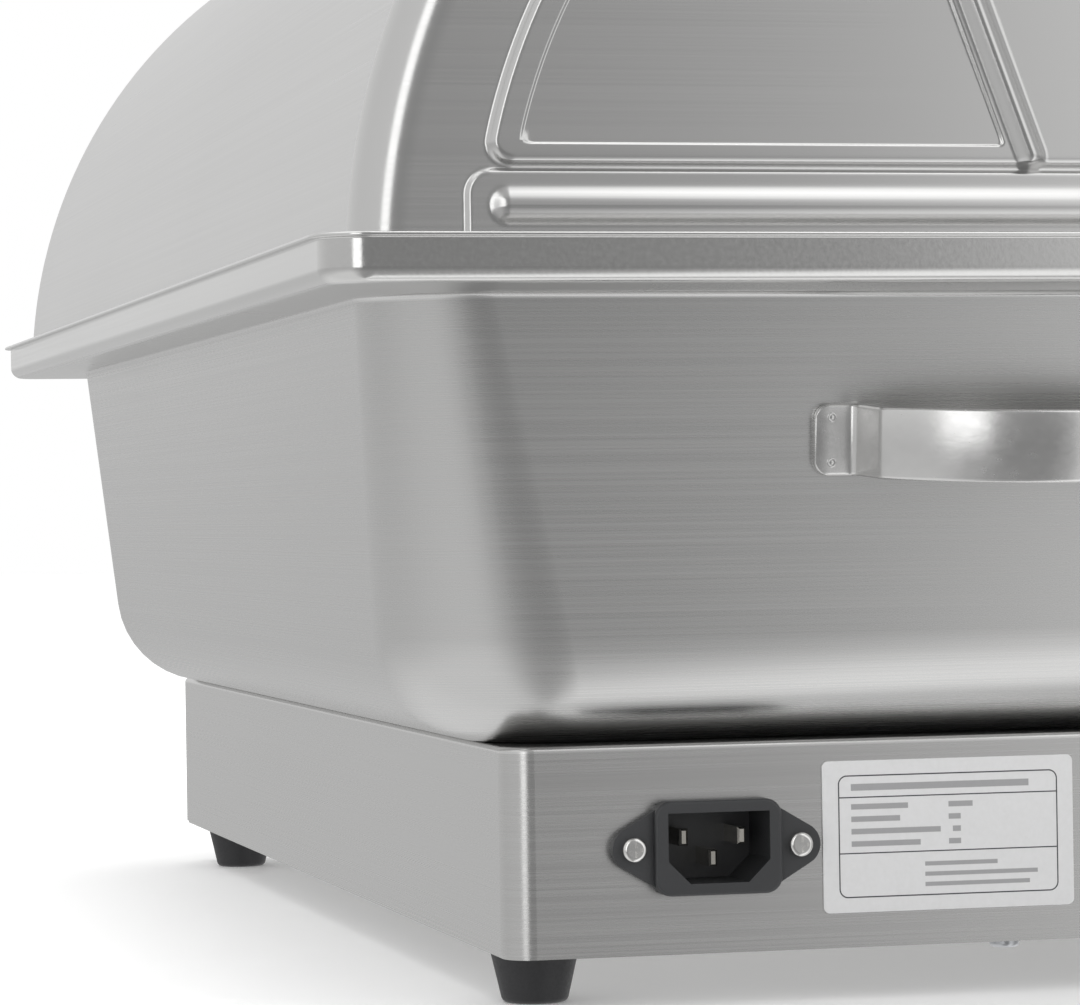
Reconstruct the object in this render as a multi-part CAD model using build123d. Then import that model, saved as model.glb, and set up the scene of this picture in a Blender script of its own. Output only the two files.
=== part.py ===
# Electric buffet server: a stainless water pan on a heated base box, a lift-out
# food pan and a barrel lid. Millimetres, +Z up. The origin is on the table under
# the centre, +X runs along the long side and the user stands on the -Y side.
from build123d import *
import os
from math import atan, cos, degrees, radians, sin, tan

os.makedirs("parts", exist_ok=True)

# ---- driving dimensions ----
SHEET = 1.0                 # stainless sheet of the pan and the base
LID_SHEET = 0.9
FOOD_SHEET = 0.8

FOOT_HEIGHT = 13.0
FOOT_TOP_D = 21.5
FOOT_BOTTOM_D = 15.5
FOOT_X = 208.0
FOOT_Y = 110.0

BASE_L = 480.0
BASE_W = 248.0
BASE_HEIGHT = 49.0
BASE_CORNER_R = 7.0
BOTTOM_SHEET = 0.8
FLANGE = 20.0               # inward flange at the foot of the base walls

PAN_DEPTH = 104.5           # from the base top to the ledge
PAN_TOP = (517.0, 312.0, 27.0)      # length, width, corner radius at the ledge
PAN_BOTTOM = (498.0, 293.0, 42.0)   # the same at the base top, before rounding
PAN_BOTTOM_R = 28.0
RIM_L = 600.0
RIM_W = 354.0
RIM_UPSTAND = 10.0
RIM_CORNER_R = 12.5         # of the lip's outer edge
LIP = 3.0                   # out-turned lip, from the upstand's inner face

LID_L = 587.0
LID_HALF_W = 168.0
LID_SIDE_R = 166.5
LID_CROWN_ANGLE = 75.0      # where the side arcs hand over to the crown arc
LID_EDGE_R = 9.0
FAN_OFFSET = 25.9           # raised end panel, inside the lid's outline
FAN_RISE = 2.0
BEAD_RISE = 3.2
PANEL_FOOT = 23.2           # lower edge of the raised panel above the ledge
STRIP = (286.0, 19.4, 14.2)         # low panel: length, height, middle above the ledge
BEAD = (277.0, 9.4, 16.0)           # rounded bead on it, the same way
CROWN_SAG = 0.2             # the lid handle's tabs are shaped to the crown this deep

GN_L = 530.0                # gastronorm 1/1 flange
GN_W = 325.0
GN_DEPTH = 65.0

INLET_Y = 74.4
PLATE_Y = 17.1              # rating plate
PLATE_Z = 39.0
SCREW_PITCH = 40.0          # inlet mounting screws
KNOB_X = 160.0
LAMP_X = 112.0

STUD_D = 5.0
NUT_AF = 8.0

# ---- heights and lengths that follow ----
Z_BASE = FOOT_HEIGHT
Z_WALL = Z_BASE + BOTTOM_SHEET
Z_DECK = Z_BASE + BASE_HEIGHT
Z_LEDGE = Z_DECK + PAN_DEPTH
Z_RIM = Z_LEDGE + RIM_UPSTAND
Z_PANEL = (Z_WALL + Z_DECK) / 2
WALL_LEAN = atan((PAN_TOP[0] - PAN_BOTTOM[0]) / 2 / PAN_DEPTH)
CROWN_ANGLE = radians(LID_CROWN_ANGLE)
CROWN_OFFSET = LID_HALF_W - LID_SIDE_R      # side arc centres from the middle
Z_CROWN = Z_LEDGE + LID_SIDE_R + CROWN_OFFSET * (1 / cos(CROWN_ANGLE) - tan(CROWN_ANGLE))
FRONT = -BASE_W / 2
SIDE = -BASE_L / 2


def block(length, width, height, x=0.0, y=0.0, z=0.0, radius=0.0):
    """Upright block on height z, with its vertical edges rounded."""
    outline = Rectangle(length, width)
    if radius:
        outline = RectangleRounded(length, width, radius)
    return Pos(x, y, z) * extrude(outline, height)


def rod(diameter, length, x=0.0, y=0.0, z=0.0):
    """Upright cylinder from height z."""
    return Pos(x, y, z) * extrude(Circle(diameter / 2), length)


def hexagon(across_flats, length, x=0.0, y=0.0, z=0.0):
    outline = RegularPolygon(across_flats / 2, 6, major_radius=False)
    return Pos(x, y, z) * extrude(outline, length)


def save(name, shape):
    export_step(shape, f"parts/{name}.step")


def group(pieces):
    return Compound(children=list(pieces))


def on_front(shape):
    """Stand a piece made on the ground plane against the -Y wall, its +Z outwards."""
    return Rot(90, 0, 0) * shape


# ---- base box ----
DECK_HOLE = (400.0, 196.0, 20.0)
PAN_STUDS = [(-120, -108), (120, -108), (-120, 108), (120, 108), (-212, 0), (212, 0)]
CLAMP_STUDS = [(x, y) for x in (-110, 110) for y in (-42.5, 42.5)]
FEET = [(x, y) for x in (-FOOT_X, FOOT_X) for y in (-FOOT_Y, FOOT_Y)]
PLATE_SCREWS = [(-100, -115), (100, -115), (-100, 115), (100, 115), (-230, 0), (230, 0)]
INLET_HOLE = (28.0, 20.4)
SHAFT_HOLE_D = 10.4
LAMP_HOLE_D = 10.2
THERMOSTAT_SCREWS = [-14.0, 14.0]


def base_housing():
    wall_height = Z_DECK - Z_WALL
    shell = block(BASE_L, BASE_W, wall_height, z=Z_WALL, radius=BASE_CORNER_R)
    shell = fillet(shell.faces().sort_by(Axis.Z)[-1].edges(), 1.5)
    inner_r = BASE_CORNER_R - SHEET
    shell -= block(BASE_L - 2 * SHEET, BASE_W - 2 * SHEET, wall_height - 2 * SHEET,
                   z=Z_WALL + SHEET, radius=inner_r)
    shell -= block(BASE_L - 2 * FLANGE, BASE_W - 2 * FLANGE, 4 * SHEET,
                   z=Z_WALL - SHEET, radius=10)
    shell -= block(DECK_HOLE[0], DECK_HOLE[1], 4 * SHEET, z=Z_DECK - 2 * SHEET,
                   radius=DECK_HOLE[2])
    for x, y in PAN_STUDS:
        shell -= rod(STUD_D + 0.6, 4, x, y, Z_DECK - 2)
    for x, y in FEET:
        shell -= rod(4.4, 4, x, y, Z_WALL - 2)
    for x, y in PLATE_SCREWS:
        shell -= rod(3.2, 4, x, y, Z_WALL - 2)
    inlet_hole = Rectangle(INLET_HOLE[1], INLET_HOLE[0])
    inlet_hole += [Pos(0, s * SCREW_PITCH / 2) * Circle(1.7) for s in (-1, 1)]
    shell -= Pos(SIDE - 2, INLET_Y, Z_PANEL) * Rot(0, 90, 0) * extrude(inlet_hole, 5)
    holes = Pos(KNOB_X, Z_PANEL) * Circle(SHAFT_HOLE_D / 2)
    holes += Pos(LAMP_X, Z_PANEL) * Circle(LAMP_HOLE_D / 2)
    holes += [Pos(KNOB_X + dx, Z_PANEL) * Circle(2.1) for dx in THERMOSTAT_SCREWS]
    shell -= Pos(0, FRONT + 3, 0) * on_front(extrude(holes, 6))
    return shell


def bottom_plate():
    plate = block(BASE_L - 1, BASE_W - 1, BOTTOM_SHEET, z=Z_BASE, radius=BASE_CORNER_R - 0.5)
    for x, y in FEET:
        plate -= rod(4.4, 3, x, y, Z_BASE - 1)
    for x, y in PLATE_SCREWS:
        plate -= rod(4.2, 3, x, y, Z_BASE - 1)
    for x, y in SHIELD_FEET + [BLOCK_SCREW]:
        plate -= rod(3.2, 3, x, y, Z_BASE - 1)
    plate -= rod(STUD_D, 3, EARTH_XY[0], EARTH_XY[1], Z_BASE - 1)
    slot = SlotOverall(44, 4)
    for row in (-1, 1):
        for i in range(7):
            x = 24 * (i - 3)
            plate -= Pos(x, row * 62, Z_BASE - 1) * Rot(0, 0, 90) * extrude(slot, 3)
    return plate


def bottom_plate_screw(x, y):
    """Self-tapping screw, head down, biting into the wall's flange."""
    head = Pos(x, y, Z_BASE - 2.2) * extrude(Circle(3.5), 2.2)
    head = fillet(head.faces().sort_by(Axis.Z)[0].edges(), 0.9)
    head -= block(4.2, 0.9, 1.0, x, y, Z_BASE - 2.3)
    head -= block(0.9, 4.2, 1.0, x, y, Z_BASE - 2.3)
    return head + rod(3.1, 8, x, y, Z_BASE)


def rubber_foot(x, y):
    cone = Solid.make_cone(FOOT_BOTTOM_D / 2, FOOT_TOP_D / 2, FOOT_HEIGHT)
    foot = fillet(cone.faces().sort_by(Axis.Z)[0].edges(), 1.5)
    foot -= rod(4.4, FOOT_HEIGHT + 2, z=-1)
    foot -= rod(8.6, 8, z=-1)
    return Pos(x, y, 0) * foot


def foot_screw(x, y):
    """Pan-head screw sunk in the foot, up through the plate and the flange."""
    head = rod(7.8, 2.6, z=4.4)
    head = fillet(head.faces().sort_by(Axis.Z)[0].edges(), 0.9)
    head -= block(4.6, 1.0, 1.4, z=4.3)
    head -= block(1.0, 4.6, 1.4, z=4.3)
    return Pos(x, y, 0) * (head + rod(4.0, 13, z=7.0))


def foot_nut(x, y):
    return hexagon(7, 3.2, x, y, Z_WALL + SHEET) - rod(4.1, 6, x, y, Z_WALL)


# ---- power inlet, on the -X wall near the rear corner ----
def inlet_flange(thickness):
    """Mounting flange: a middle rectangle with a tapered ear on either side."""
    middle = RectangleRounded(22.0, 30.6, 4.0)
    ears = make_hull([Pos(0, SCREW_PITCH / 2) * Circle(5.0).edge(),
                      Pos(0, -SCREW_PITCH / 2) * Circle(5.0).edge(),
                      Rectangle(20.0, 26.0).edges()[0], Rectangle(20.0, 26.0).edges()[2]])
    return extrude(middle + ears, thickness)


def inlet_cavity(depth):
    """Socket outline, with the two lower corners cut off."""
    half_w, half_h, cut = 12.2, 8.2, 5.2
    outline = Polyline((half_h, half_w), (half_h, -half_w), (cut - half_h, -half_w),
                       (-half_h, cut - half_w), (-half_h, half_w - cut),
                       (cut - half_h, half_w), close=True)
    return extrude(make_face(outline), depth)


INLET_DEPTH = 17.0          # cavity depth from the bezel's face
INLET_PROUD = 4.6           # flange and bezel outside the wall
BLADES = [(2.2, -7.0), (2.2, 7.0), (-2.8, 0.0)]     # up, across
BLADE_TAIL = 9.0
BLADE_RECESS = 5.5          # blade tips behind the bezel's face


def place_inlet(shape):
    """Local +Z becomes the outward normal of the -X wall, local +X becomes up."""
    return Pos(SIDE, INLET_Y, Z_PANEL) * Rot(0, -90, 0) * shape


def power_inlet():
    body = inlet_flange(2.6)
    bezel = Pos(0, 0, 2.6) * extrude(RectangleRounded(22.0, 30.6, 4.0), INLET_PROUD - 2.6)
    body += fillet(bezel.faces().sort_by(Axis.Z)[-1].edges(), 0.8)
    rear = extrude(RectangleRounded(19.8, 27.4, 2.0), -(INLET_DEPTH - INLET_PROUD + 2.5))
    body += rear
    body -= Pos(0, 0, INLET_PROUD - INLET_DEPTH) * inlet_cavity(INLET_DEPTH + 1)
    for s in (-1, 1):
        body -= Pos(0, s * SCREW_PITCH / 2, -1) * extrude(Circle(1.7), 6)
    for up, across in BLADES:
        body -= Pos(up, across, -20) * extrude(Rectangle(4.0, 2.0), 12)
    return place_inlet(body)


def inlet_blades():
    start = INLET_PROUD - INLET_DEPTH - 2.5 - BLADE_TAIL
    blades = []
    for up, across in BLADES:
        reach = INLET_PROUD - BLADE_RECESS - start
        blade = Pos(up, across, start) * extrude(Rectangle(4.0, 2.0), reach)
        blades.append(place_inlet(chamfer(blade.faces().sort_by(Axis.Z)[-1].edges(), 0.5)))
    return group(blades)


def inlet_screw(s):
    head = Pos(0, s * SCREW_PITCH / 2, 2.6) * extrude(Circle(2.9), 1.9)
    head = fillet(head.faces().sort_by(Axis.Z)[-1].edges(), 1.0)
    for size in ((3.4, 0.8), (0.8, 3.4)):
        head -= Pos(0, s * SCREW_PITCH / 2, 3.5) * extrude(Rectangle(*size), 2)
    shank = Pos(0, s * SCREW_PITCH / 2, 2.6) * extrude(Circle(1.5), -9)
    return place_inlet(head + shank)


def inlet_nut(s):
    nut = Pos(0, s * SCREW_PITCH / 2, -SHEET) * extrude(
        RegularPolygon(2.75, 6, major_radius=False) - Circle(1.55), -2.4)
    return place_inlet(nut)


def rating_plate():
    plate = extrude(RectangleRounded(35.5, 62.0, 1.5), 0.4)
    return Pos(SIDE, PLATE_Y, PLATE_Z) * Rot(0, -90, 0) * plate


# ---- water pan ----
def tapered_tub(top, bottom, z_bottom, z_top, bottom_r):
    """Tub whose walls lean in towards a rounded bottom."""
    low = Pos(0, 0, z_bottom) * RectangleRounded(*bottom)
    high = Pos(0, 0, z_top) * RectangleRounded(*top)
    tub = loft([low, high], ruled=True)
    return fillet(tub.faces().sort_by(Axis.Z)[0].edges(), bottom_r)


def water_pan():
    tub = tapered_tub(PAN_TOP, PAN_BOTTOM, Z_DECK, Z_LEDGE, PAN_BOTTOM_R)
    edge_l = RIM_L - 2 * LIP
    edge_w = RIM_W - 2 * LIP
    rim = block(edge_l + 2 * SHEET, edge_w + 2 * SHEET, RIM_UPSTAND + SHEET,
                z=Z_LEDGE - SHEET, radius=RIM_CORNER_R - LIP + SHEET)
    rim = fillet(rim.faces().sort_by(Axis.Z)[0].edges(), 3.6)
    rim += block(RIM_L, RIM_W, SHEET, z=Z_RIM - SHEET, radius=RIM_CORNER_R)
    dish = block(edge_l, edge_w, RIM_UPSTAND + SHEET, z=Z_LEDGE, radius=RIM_CORNER_R - LIP)
    rim -= fillet(dish.faces().sort_by(Axis.Z)[0].edges(), 2.4)
    trim = 2 * SHEET * (1 - tan(WALL_LEAN))
    inner_top = (PAN_TOP[0] - trim, PAN_TOP[1] - trim, PAN_TOP[2] - SHEET)
    inner_bottom = (PAN_BOTTOM[0] - trim, PAN_BOTTOM[1] - trim, PAN_BOTTOM[2] - SHEET)
    hollow = tapered_tub(inner_top, inner_bottom, Z_DECK + SHEET, Z_LEDGE + SHEET,
                         PAN_BOTTOM_R - SHEET)
    return tub + rim - hollow


# ---- side handles: a strap bent out from two spot-welded tabs ----
HANDLE_Z = 131.7
HANDLE_H = 16.6
STRAP = 2.0
TAB_END = 53.8
BOW_OUT = 30.0
BOW_R = 60.0
BOW_ANGLE = 42.0
STEP_ANGLE = 78.0
BEND_R = 3.0
TAB_CORNER_R = 3.4
WELD_D = 2.2                # dimple left by each spot weld
WELD_DEPTH = 0.3
HANDLE_WELDS = [(along, across) for along in (-49.8, 49.8) for across in (-5.2, 5.2)]


def place_handle(shape, side):
    """Local +Z is the pan wall's outward normal, local Y along it, local X upwards."""
    half_l = PAN_TOP[0] / 2 - (Z_LEDGE - HANDLE_Z) * tan(WALL_LEAN)
    if side < 0:
        return Pos(-half_l, 0, HANDLE_Z) * Rot(0, -90 - degrees(WALL_LEAN), 0) * shape
    turned = Rot(0, -90 - degrees(WALL_LEAN), 0) * shape
    return mirror(Pos(-half_l, 0, HANDLE_Z) * turned, Plane.YZ)


def half_strap_path():
    """Centre line of one half of the strap, from the bow's middle out to the tab's end."""
    bow = JernArc((0, BOW_OUT - STRAP / 2), (1, 0), BOW_R, -BOW_ANGLE)
    knee = JernArc(bow @ 1, bow % 1, BEND_R, BOW_ANGLE - STEP_ANGLE)
    turn = BEND_R * (1 - cos(radians(STEP_ANGLE)))
    drop = (knee @ 1).Y - STRAP / 2 - turn
    step = Line(knee @ 1, (knee @ 1) + (knee % 1) * (drop / sin(radians(STEP_ANGLE))))
    ankle = JernArc(step @ 1, step % 1, BEND_R, STEP_ANGLE)
    tab = Line(ankle @ 1, (TAB_END, STRAP / 2))
    return bow + knee + step + ankle + tab


def strap_handle():
    """Local Y along the strap, X across it and Z away from the seat under the tabs."""
    middle = Plane((0, BOW_OUT - STRAP / 2, 0), x_dir=(0, 0, 1), z_dir=(1, 0, 0))
    half = sweep(middle * Rectangle(HANDLE_H, STRAP), path=half_strap_path())
    strap = half + mirror(half, Plane.YZ)
    strap = Plane.YZ * strap
    strap &= extrude(RectangleRounded(HANDLE_H, 2 * TAB_END, TAB_CORNER_R), BOW_OUT)
    for along, across in HANDLE_WELDS:
        strap -= Pos(across, along, STRAP - WELD_DEPTH) * extrude(Circle(WELD_D / 2), 1)
    return strap


def side_handle(side):
    return place_handle(strap_handle(), side)


# ---- heater under the pan ----
SPREADER = (340.0, 160.0, 3.0)
ELEMENT_D = 6.5
Z_SPREADER = Z_DECK - SPREADER[2]
Z_ELEMENT = Z_SPREADER - ELEMENT_D / 2
Z_BAR = Z_SPREADER - ELEMENT_D
BAR_T = 2.0
SHIELD_FEET = [(x, y) for x in (-150, 150) for y in (-92, 92)]
Z_SHIELD = 33.0
BLOCK_XY = (-205.0, 20.0)
BLOCK_SCREW = (-205.0, 20.0)
EARTH_XY = (-190.0, 96.0)


def pan_stud(x, y):
    return rod(STUD_D, -17, x, y, Z_DECK)


def spreader_plate():
    plate = block(SPREADER[0], SPREADER[1], SPREADER[2], z=Z_SPREADER, radius=8)
    for x, y in CLAMP_STUDS:
        plate -= rod(STUD_D + 0.6, 5, x, y, Z_SPREADER - 1)
    return plate


def heating_element():
    """Tubular element: four legs joined by three bends, laid under the plate."""
    outer, inner, end = 60.0, 25.0, 128.0
    bend = (outer - inner) / 2
    start = -158.0
    path = Line((start, -outer), (end, -outer))
    path += ThreePointArc((end, -outer), (end + bend, -outer + bend), (end, -inner))
    path += Line((end, -inner), (-end, -inner))
    path += ThreePointArc((-end, -inner), (-end - inner, 0), (-end, inner))
    path += Line((-end, inner), (end, inner))
    path += ThreePointArc((end, inner), (end + bend, outer - bend), (end, outer))
    path += Line((end, outer), (start, outer))
    tube = sweep(Plane((start, -outer, 0), z_dir=(1, 0, 0)) * Circle(ELEMENT_D / 2), path=path)
    return Pos(0, 0, Z_ELEMENT) * tube


def element_terminal(y):
    """Ceramic-collared cold pin on the end of the element."""
    collar = extrude(Circle(ELEMENT_D / 2), -6)
    pin = extrude(Circle(1.5), -20)
    return Pos(-158, y, Z_ELEMENT) * Rot(0, 90, 0) * (collar + pin)


def clamp_bar(x):
    bar = block(16, 146, BAR_T, x, 0, Z_BAR - BAR_T, radius=3)
    for stud_x, y in CLAMP_STUDS:
        if stud_x == x:
            bar -= rod(STUD_D + 0.6, 5, x, y, Z_BAR - BAR_T - 1)
    return bar


def stud_washer(x, y, z):
    return rod(10, -1, x, y, z) - rod(STUD_D + 0.3, -3, x, y, z + 1)


def stud_nut(x, y, z):
    return hexagon(NUT_AF, -4, x, y, z - 1) - rod(STUD_D, -6, x, y, z)


def thermal_cutout():
    """Disc thermostat against the plate, with two tabs underneath."""
    disc = rod(16.5, -8.5, z=Z_SPREADER)
    ears = block(30, 9, -0.8, z=Z_SPREADER, radius=4)
    for x in (-5, 5):
        disc += block(0.8, 6.3, -7, x, z=Z_SPREADER - 8.5)
    return disc + ears


def heat_shield():
    """Folded tray on four legs, under the element."""
    tray = block(320, 168, 0.6, z=Z_SHIELD)
    for x, y in SHIELD_FEET:
        inward = 1 if y < 0 else -1
        leg = block(16, 0.6, Z_SHIELD + 0.6 - Z_WALL, x, y + inward * 7.7, Z_WALL)
        toe = block(16, 14, 0.6, x, y + inward * 1.0, Z_WALL)
        tray += leg + toe
        tray -= rod(3.2, 3, x, y, Z_WALL - 1)
    return tray


def shield_screw(x, y):
    head = rod(6.0, -1.8, x, y, Z_BASE)
    head = fillet(head.faces().sort_by(Axis.Z)[0].edges(), 0.7)
    return head + rod(3.0, 6.5, x, y, Z_BASE)


def insulation_pad():
    return block(300, 150, 9.0, z=Z_SHIELD + 0.6, radius=6)


BULB_Y = -88.5
BULB_X = (10.0, 80.0)


def sensor_bulb():
    bulb = Solid.make_cylinder(3.0, BULB_X[1] - BULB_X[0])
    bulb = fillet(bulb.edges(), 1.0)
    return Pos(BULB_X[0], BULB_Y, Z_DECK - 3.0) * Rot(0, 90, 0) * bulb


def bulb_clip():
    """Saddle welded under the pan that holds the bulb."""
    saddle = Pos(0, -0.7) * Rectangle(9.0, 7.4)
    saddle -= Circle(3.05)
    saddle -= Pos(0, 1.5) * Rectangle(6.1, 3.0)
    seat = Pos(sum(BULB_X) / 2, BULB_Y, Z_DECK - 3.0)
    return seat * (Plane.YZ * extrude(saddle, 6, both=True))


# ---- thermostat, bezel, knob and pilot lamp on the front ----
THERMO_D = 24.0


def place_front(shape, x):
    """Local +Z points out of the -Y wall and local Y points up."""
    return Pos(x, FRONT, Z_PANEL) * Rot(90, 0, 0) * shape


def thermostat_body():
    case = Pos(0, 0, -SHEET - THERMO_D) * extrude(RectangleRounded(36, 34, 2), THERMO_D)
    case += Pos(0, 0, -SHEET) * extrude(Circle(5.0), SHEET + 1.6)
    case -= Pos(0, 0, -16) * extrude(Circle(3.05), 20)
    for dx in THERMOSTAT_SCREWS:
        case -= Pos(dx, 0, -9) * extrude(Circle(2.0), 9)
    for dx in (-9, 9):
        case += Pos(dx, 6, -SHEET - THERMO_D) * extrude(Rectangle(6.3, 0.8), -8)
    return place_front(case, KNOB_X)


def thermostat_screw(dx):
    head = Pos(dx, 0, 0) * extrude(Circle(3.2), 1.4)
    head = fillet(head.faces().sort_by(Axis.Z)[-1].edges(), 0.6)
    return place_front(head + Pos(dx, 0, 0) * extrude(Circle(1.9), -8), KNOB_X)


def dial_bezel():
    """Plain dial ring around the knob, with no lettering."""
    ring = extrude(Circle(22.0), 2.0)
    ring = fillet(ring.faces().sort_by(Axis.Z)[-1].edges(), 0.8)
    ring -= Pos(0, 0, -1) * extrude(Circle(17.6), 4)
    return place_front(ring, KNOB_X)


def control_knob():
    skirt = Pos(0, 0, 2.4) * extrude(Circle(17.0), 4.0)
    skirt = fillet(skirt.faces().sort_by(Axis.Z)[-1].edges(), 1.2)
    grip = Pos(0, 0, 6.4) * extrude(Circle(12.6), 13.0)
    for i in range(18):
        grip -= Rot(0, 0, 20 * i + 10) * Pos(13.3, 0, 6.4) * extrude(Circle(1.3), 13.0)
    grip = fillet(grip.faces().sort_by(Axis.Z)[-1].edges(), 0.5)
    knob = skirt + grip
    knob -= Pos(0, 0, 2) * extrude(Circle(3.0), 11.4)
    knob -= Pos(0, 9.5, 18.6) * extrude(Rectangle(1.8, 6.0), 2)
    return place_front(knob, KNOB_X)


def knob_pointer():
    return place_front(Pos(0, 9.5, 18.6) * extrude(Rectangle(1.8, 4.0), 0.9), KNOB_X)


def thermostat_shaft():
    return place_front(Pos(0, 0, -12) * extrude(Circle(3.0), 25.4), KNOB_X)


def pilot_lamp_lens():
    cap = extrude(Circle(6.6), 4.4)
    cap = fillet(cap.faces().sort_by(Axis.Z)[-1].edges(), 2.4)
    return place_front(cap, LAMP_X)


def pilot_lamp_body():
    body = extrude(Circle(5.0), -24)
    for dx in (-2, 2):
        body += Pos(dx, 0, -24) * extrude(Rectangle(0.8, 2.8), -8)
    return place_front(body, LAMP_X)


def pilot_lamp_clip():
    clip = Pos(0, 0, -SHEET) * extrude(Circle(8.0) - Circle(5.05), -2.0)
    return place_front(clip, LAMP_X)


# ---- terminal block, earth stud and wiring ----
def terminal_block():
    x, y = BLOCK_XY
    body = block(26, 46, 16, x, y, Z_WALL, radius=2)
    for dy in (-14, 0, 14):
        if dy:
            body -= rod(5.0, 6, x - 6, y + dy, Z_WALL + 10)
            body -= rod(5.0, 6, x + 6, y + dy, Z_WALL + 10)
    body -= rod(3.2, 20, x, y, Z_WALL - 1)
    body -= rod(7.0, 10, x, y, Z_WALL + 7)
    return body


def terminal_screws():
    x, y = BLOCK_XY
    screws = []
    for dx in (-6, 6):
        for dy in (-14, 14):
            screw = rod(4.6, 4, x + dx, y + dy, Z_WALL + 10)
            screws.append(screw - block(4.0, 0.9, 1.5, x + dx, y + dy, Z_WALL + 13))
    return group(screws)


def terminal_block_screw():
    x, y = BLOCK_XY
    head = rod(6.0, 2.4, x, y, Z_WALL + 7)
    return head + rod(3.0, -10, x, y, Z_WALL + 7)


def earth_stud():
    x, y = EARTH_XY
    return rod(STUD_D, 16, x, y, Z_BASE)


def earth_nut():
    x, y = EARTH_XY
    nut = hexagon(NUT_AF, 4, x, y, Z_WALL) - rod(STUD_D, 6, x, y, Z_WALL - 1)
    return nut


def wire(points, diameter=2.4, bend=3.0):
    """Insulated wire laid in straight runs with rounded bends."""
    route = FilletPolyline(*points, radius=bend)
    start = Plane(origin=route @ 0, z_dir=route % 0)
    return sweep(start * Circle(diameter / 2), path=route)


INLET_TAIL = SIDE - INLET_PROUD + INLET_DEPTH + 2.5 + BLADE_TAIL
Z_LIVE_RUN = 26.0           # thermostat leads along the front wall
Z_SWITCHED_RUN = 22.0
LIVE_RUN_Y = -88.0
SWITCHED_RUN_Y = -96.0


def supply_wires():
    """From the two upper blades to the near face of the terminal block."""
    x, y = BLOCK_XY
    high = Z_PANEL + BLADES[0][0]
    wires = []
    for across, run_x, low in ((BLADES[0][1], x - 5, 22), (BLADES[1][1], x + 5, 24)):
        blade_y = INLET_Y + across
        wires.append(wire([(INLET_TAIL, blade_y, high), (run_x, blade_y, high),
                           (run_x, blade_y, low), (run_x, y + 23, low)]))
    return group(wires)


def earth_wire():
    x, y = EARTH_XY
    lug_z = Z_WALL + 4
    lug = rod(10, 0.8, x, y, lug_z) - rod(STUD_D + 0.2, 3, x, y, lug_z - 1)
    run_x = INLET_TAIL + 10
    level = lug_z + 1.2
    high = Z_PANEL + BLADES[2][0]
    route = wire([(INLET_TAIL, INLET_Y, high), (run_x, INLET_Y, high), (run_x, INLET_Y, level),
                  (run_x, y, level), (x - 3.4, y, level)])
    return lug + route


def thermostat_wires():
    """From the terminal block along the front wall to the thermostat's tabs."""
    x, y = BLOCK_XY
    block_face = y - 23
    tab_end = FRONT + SHEET + THERMO_D + 8
    tab_z = Z_PANEL + 6
    live_x, switched_x = KNOB_X - 9, KNOB_X + 9
    rise_y = tab_end + 3.4
    live = wire([(x + 6, block_face, Z_LIVE_RUN), (x + 6, LIVE_RUN_Y, Z_LIVE_RUN),
                 (live_x, LIVE_RUN_Y, Z_LIVE_RUN), (live_x, LIVE_RUN_Y, tab_z),
                 (live_x, tab_end, tab_z)], bend=2.9)
    switched = wire([(x - 6, block_face, Z_SWITCHED_RUN), (x - 6, SWITCHED_RUN_Y, Z_SWITCHED_RUN),
                     (switched_x, SWITCHED_RUN_Y, Z_SWITCHED_RUN),
                     (switched_x, rise_y, Z_SWITCHED_RUN), (switched_x, rise_y, tab_z),
                     (switched_x, tab_end, tab_z)])
    return group([live, switched])


def lamp_wires():
    """Thin leads from the lamp's tabs, spliced onto the two thermostat leads."""
    tab_end = FRONT + 32
    live_x, switched_x = LAMP_X - 2, LAMP_X + 2
    out_y = tab_end + 3
    shelf = Z_PANEL - 7
    live = wire([(live_x, tab_end, Z_PANEL), (live_x, LIVE_RUN_Y, Z_PANEL),
                 (live_x, LIVE_RUN_Y, Z_LIVE_RUN + 1.2)], 1.4, 1.4)
    switched = wire([(switched_x, tab_end, Z_PANEL), (switched_x, out_y, Z_PANEL),
                     (switched_x, out_y, shelf), (switched_x, SWITCHED_RUN_Y, shelf),
                     (switched_x, SWITCHED_RUN_Y, Z_SWITCHED_RUN + 1.2)], 1.4, 1.4)
    return group([live, switched])


def element_wires():
    """Cold-pin leads that drop to the terminal block."""
    x, y = BLOCK_XY
    pin_x = -178.0
    run_x = pin_x - 8
    wires = []
    for side in (-1, 1):
        wires.append(wire([(pin_x, side * 60, Z_ELEMENT), (run_x, side * 60, Z_ELEMENT),
                           (run_x, side * 60, 24), (run_x, y + side * 14, 24),
                           (x + 13, y + side * 14, 24)]))
    return group(wires)


def capillary_tube():
    rear = FRONT + SHEET + THERMO_D
    drop_x = KNOB_X - 14
    return wire([(BULB_X[1], BULB_Y, Z_DECK - 3), (drop_x, BULB_Y, Z_DECK - 3),
                 (drop_x, BULB_Y, 30), (drop_x, rear, 30)], 1.4)


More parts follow.
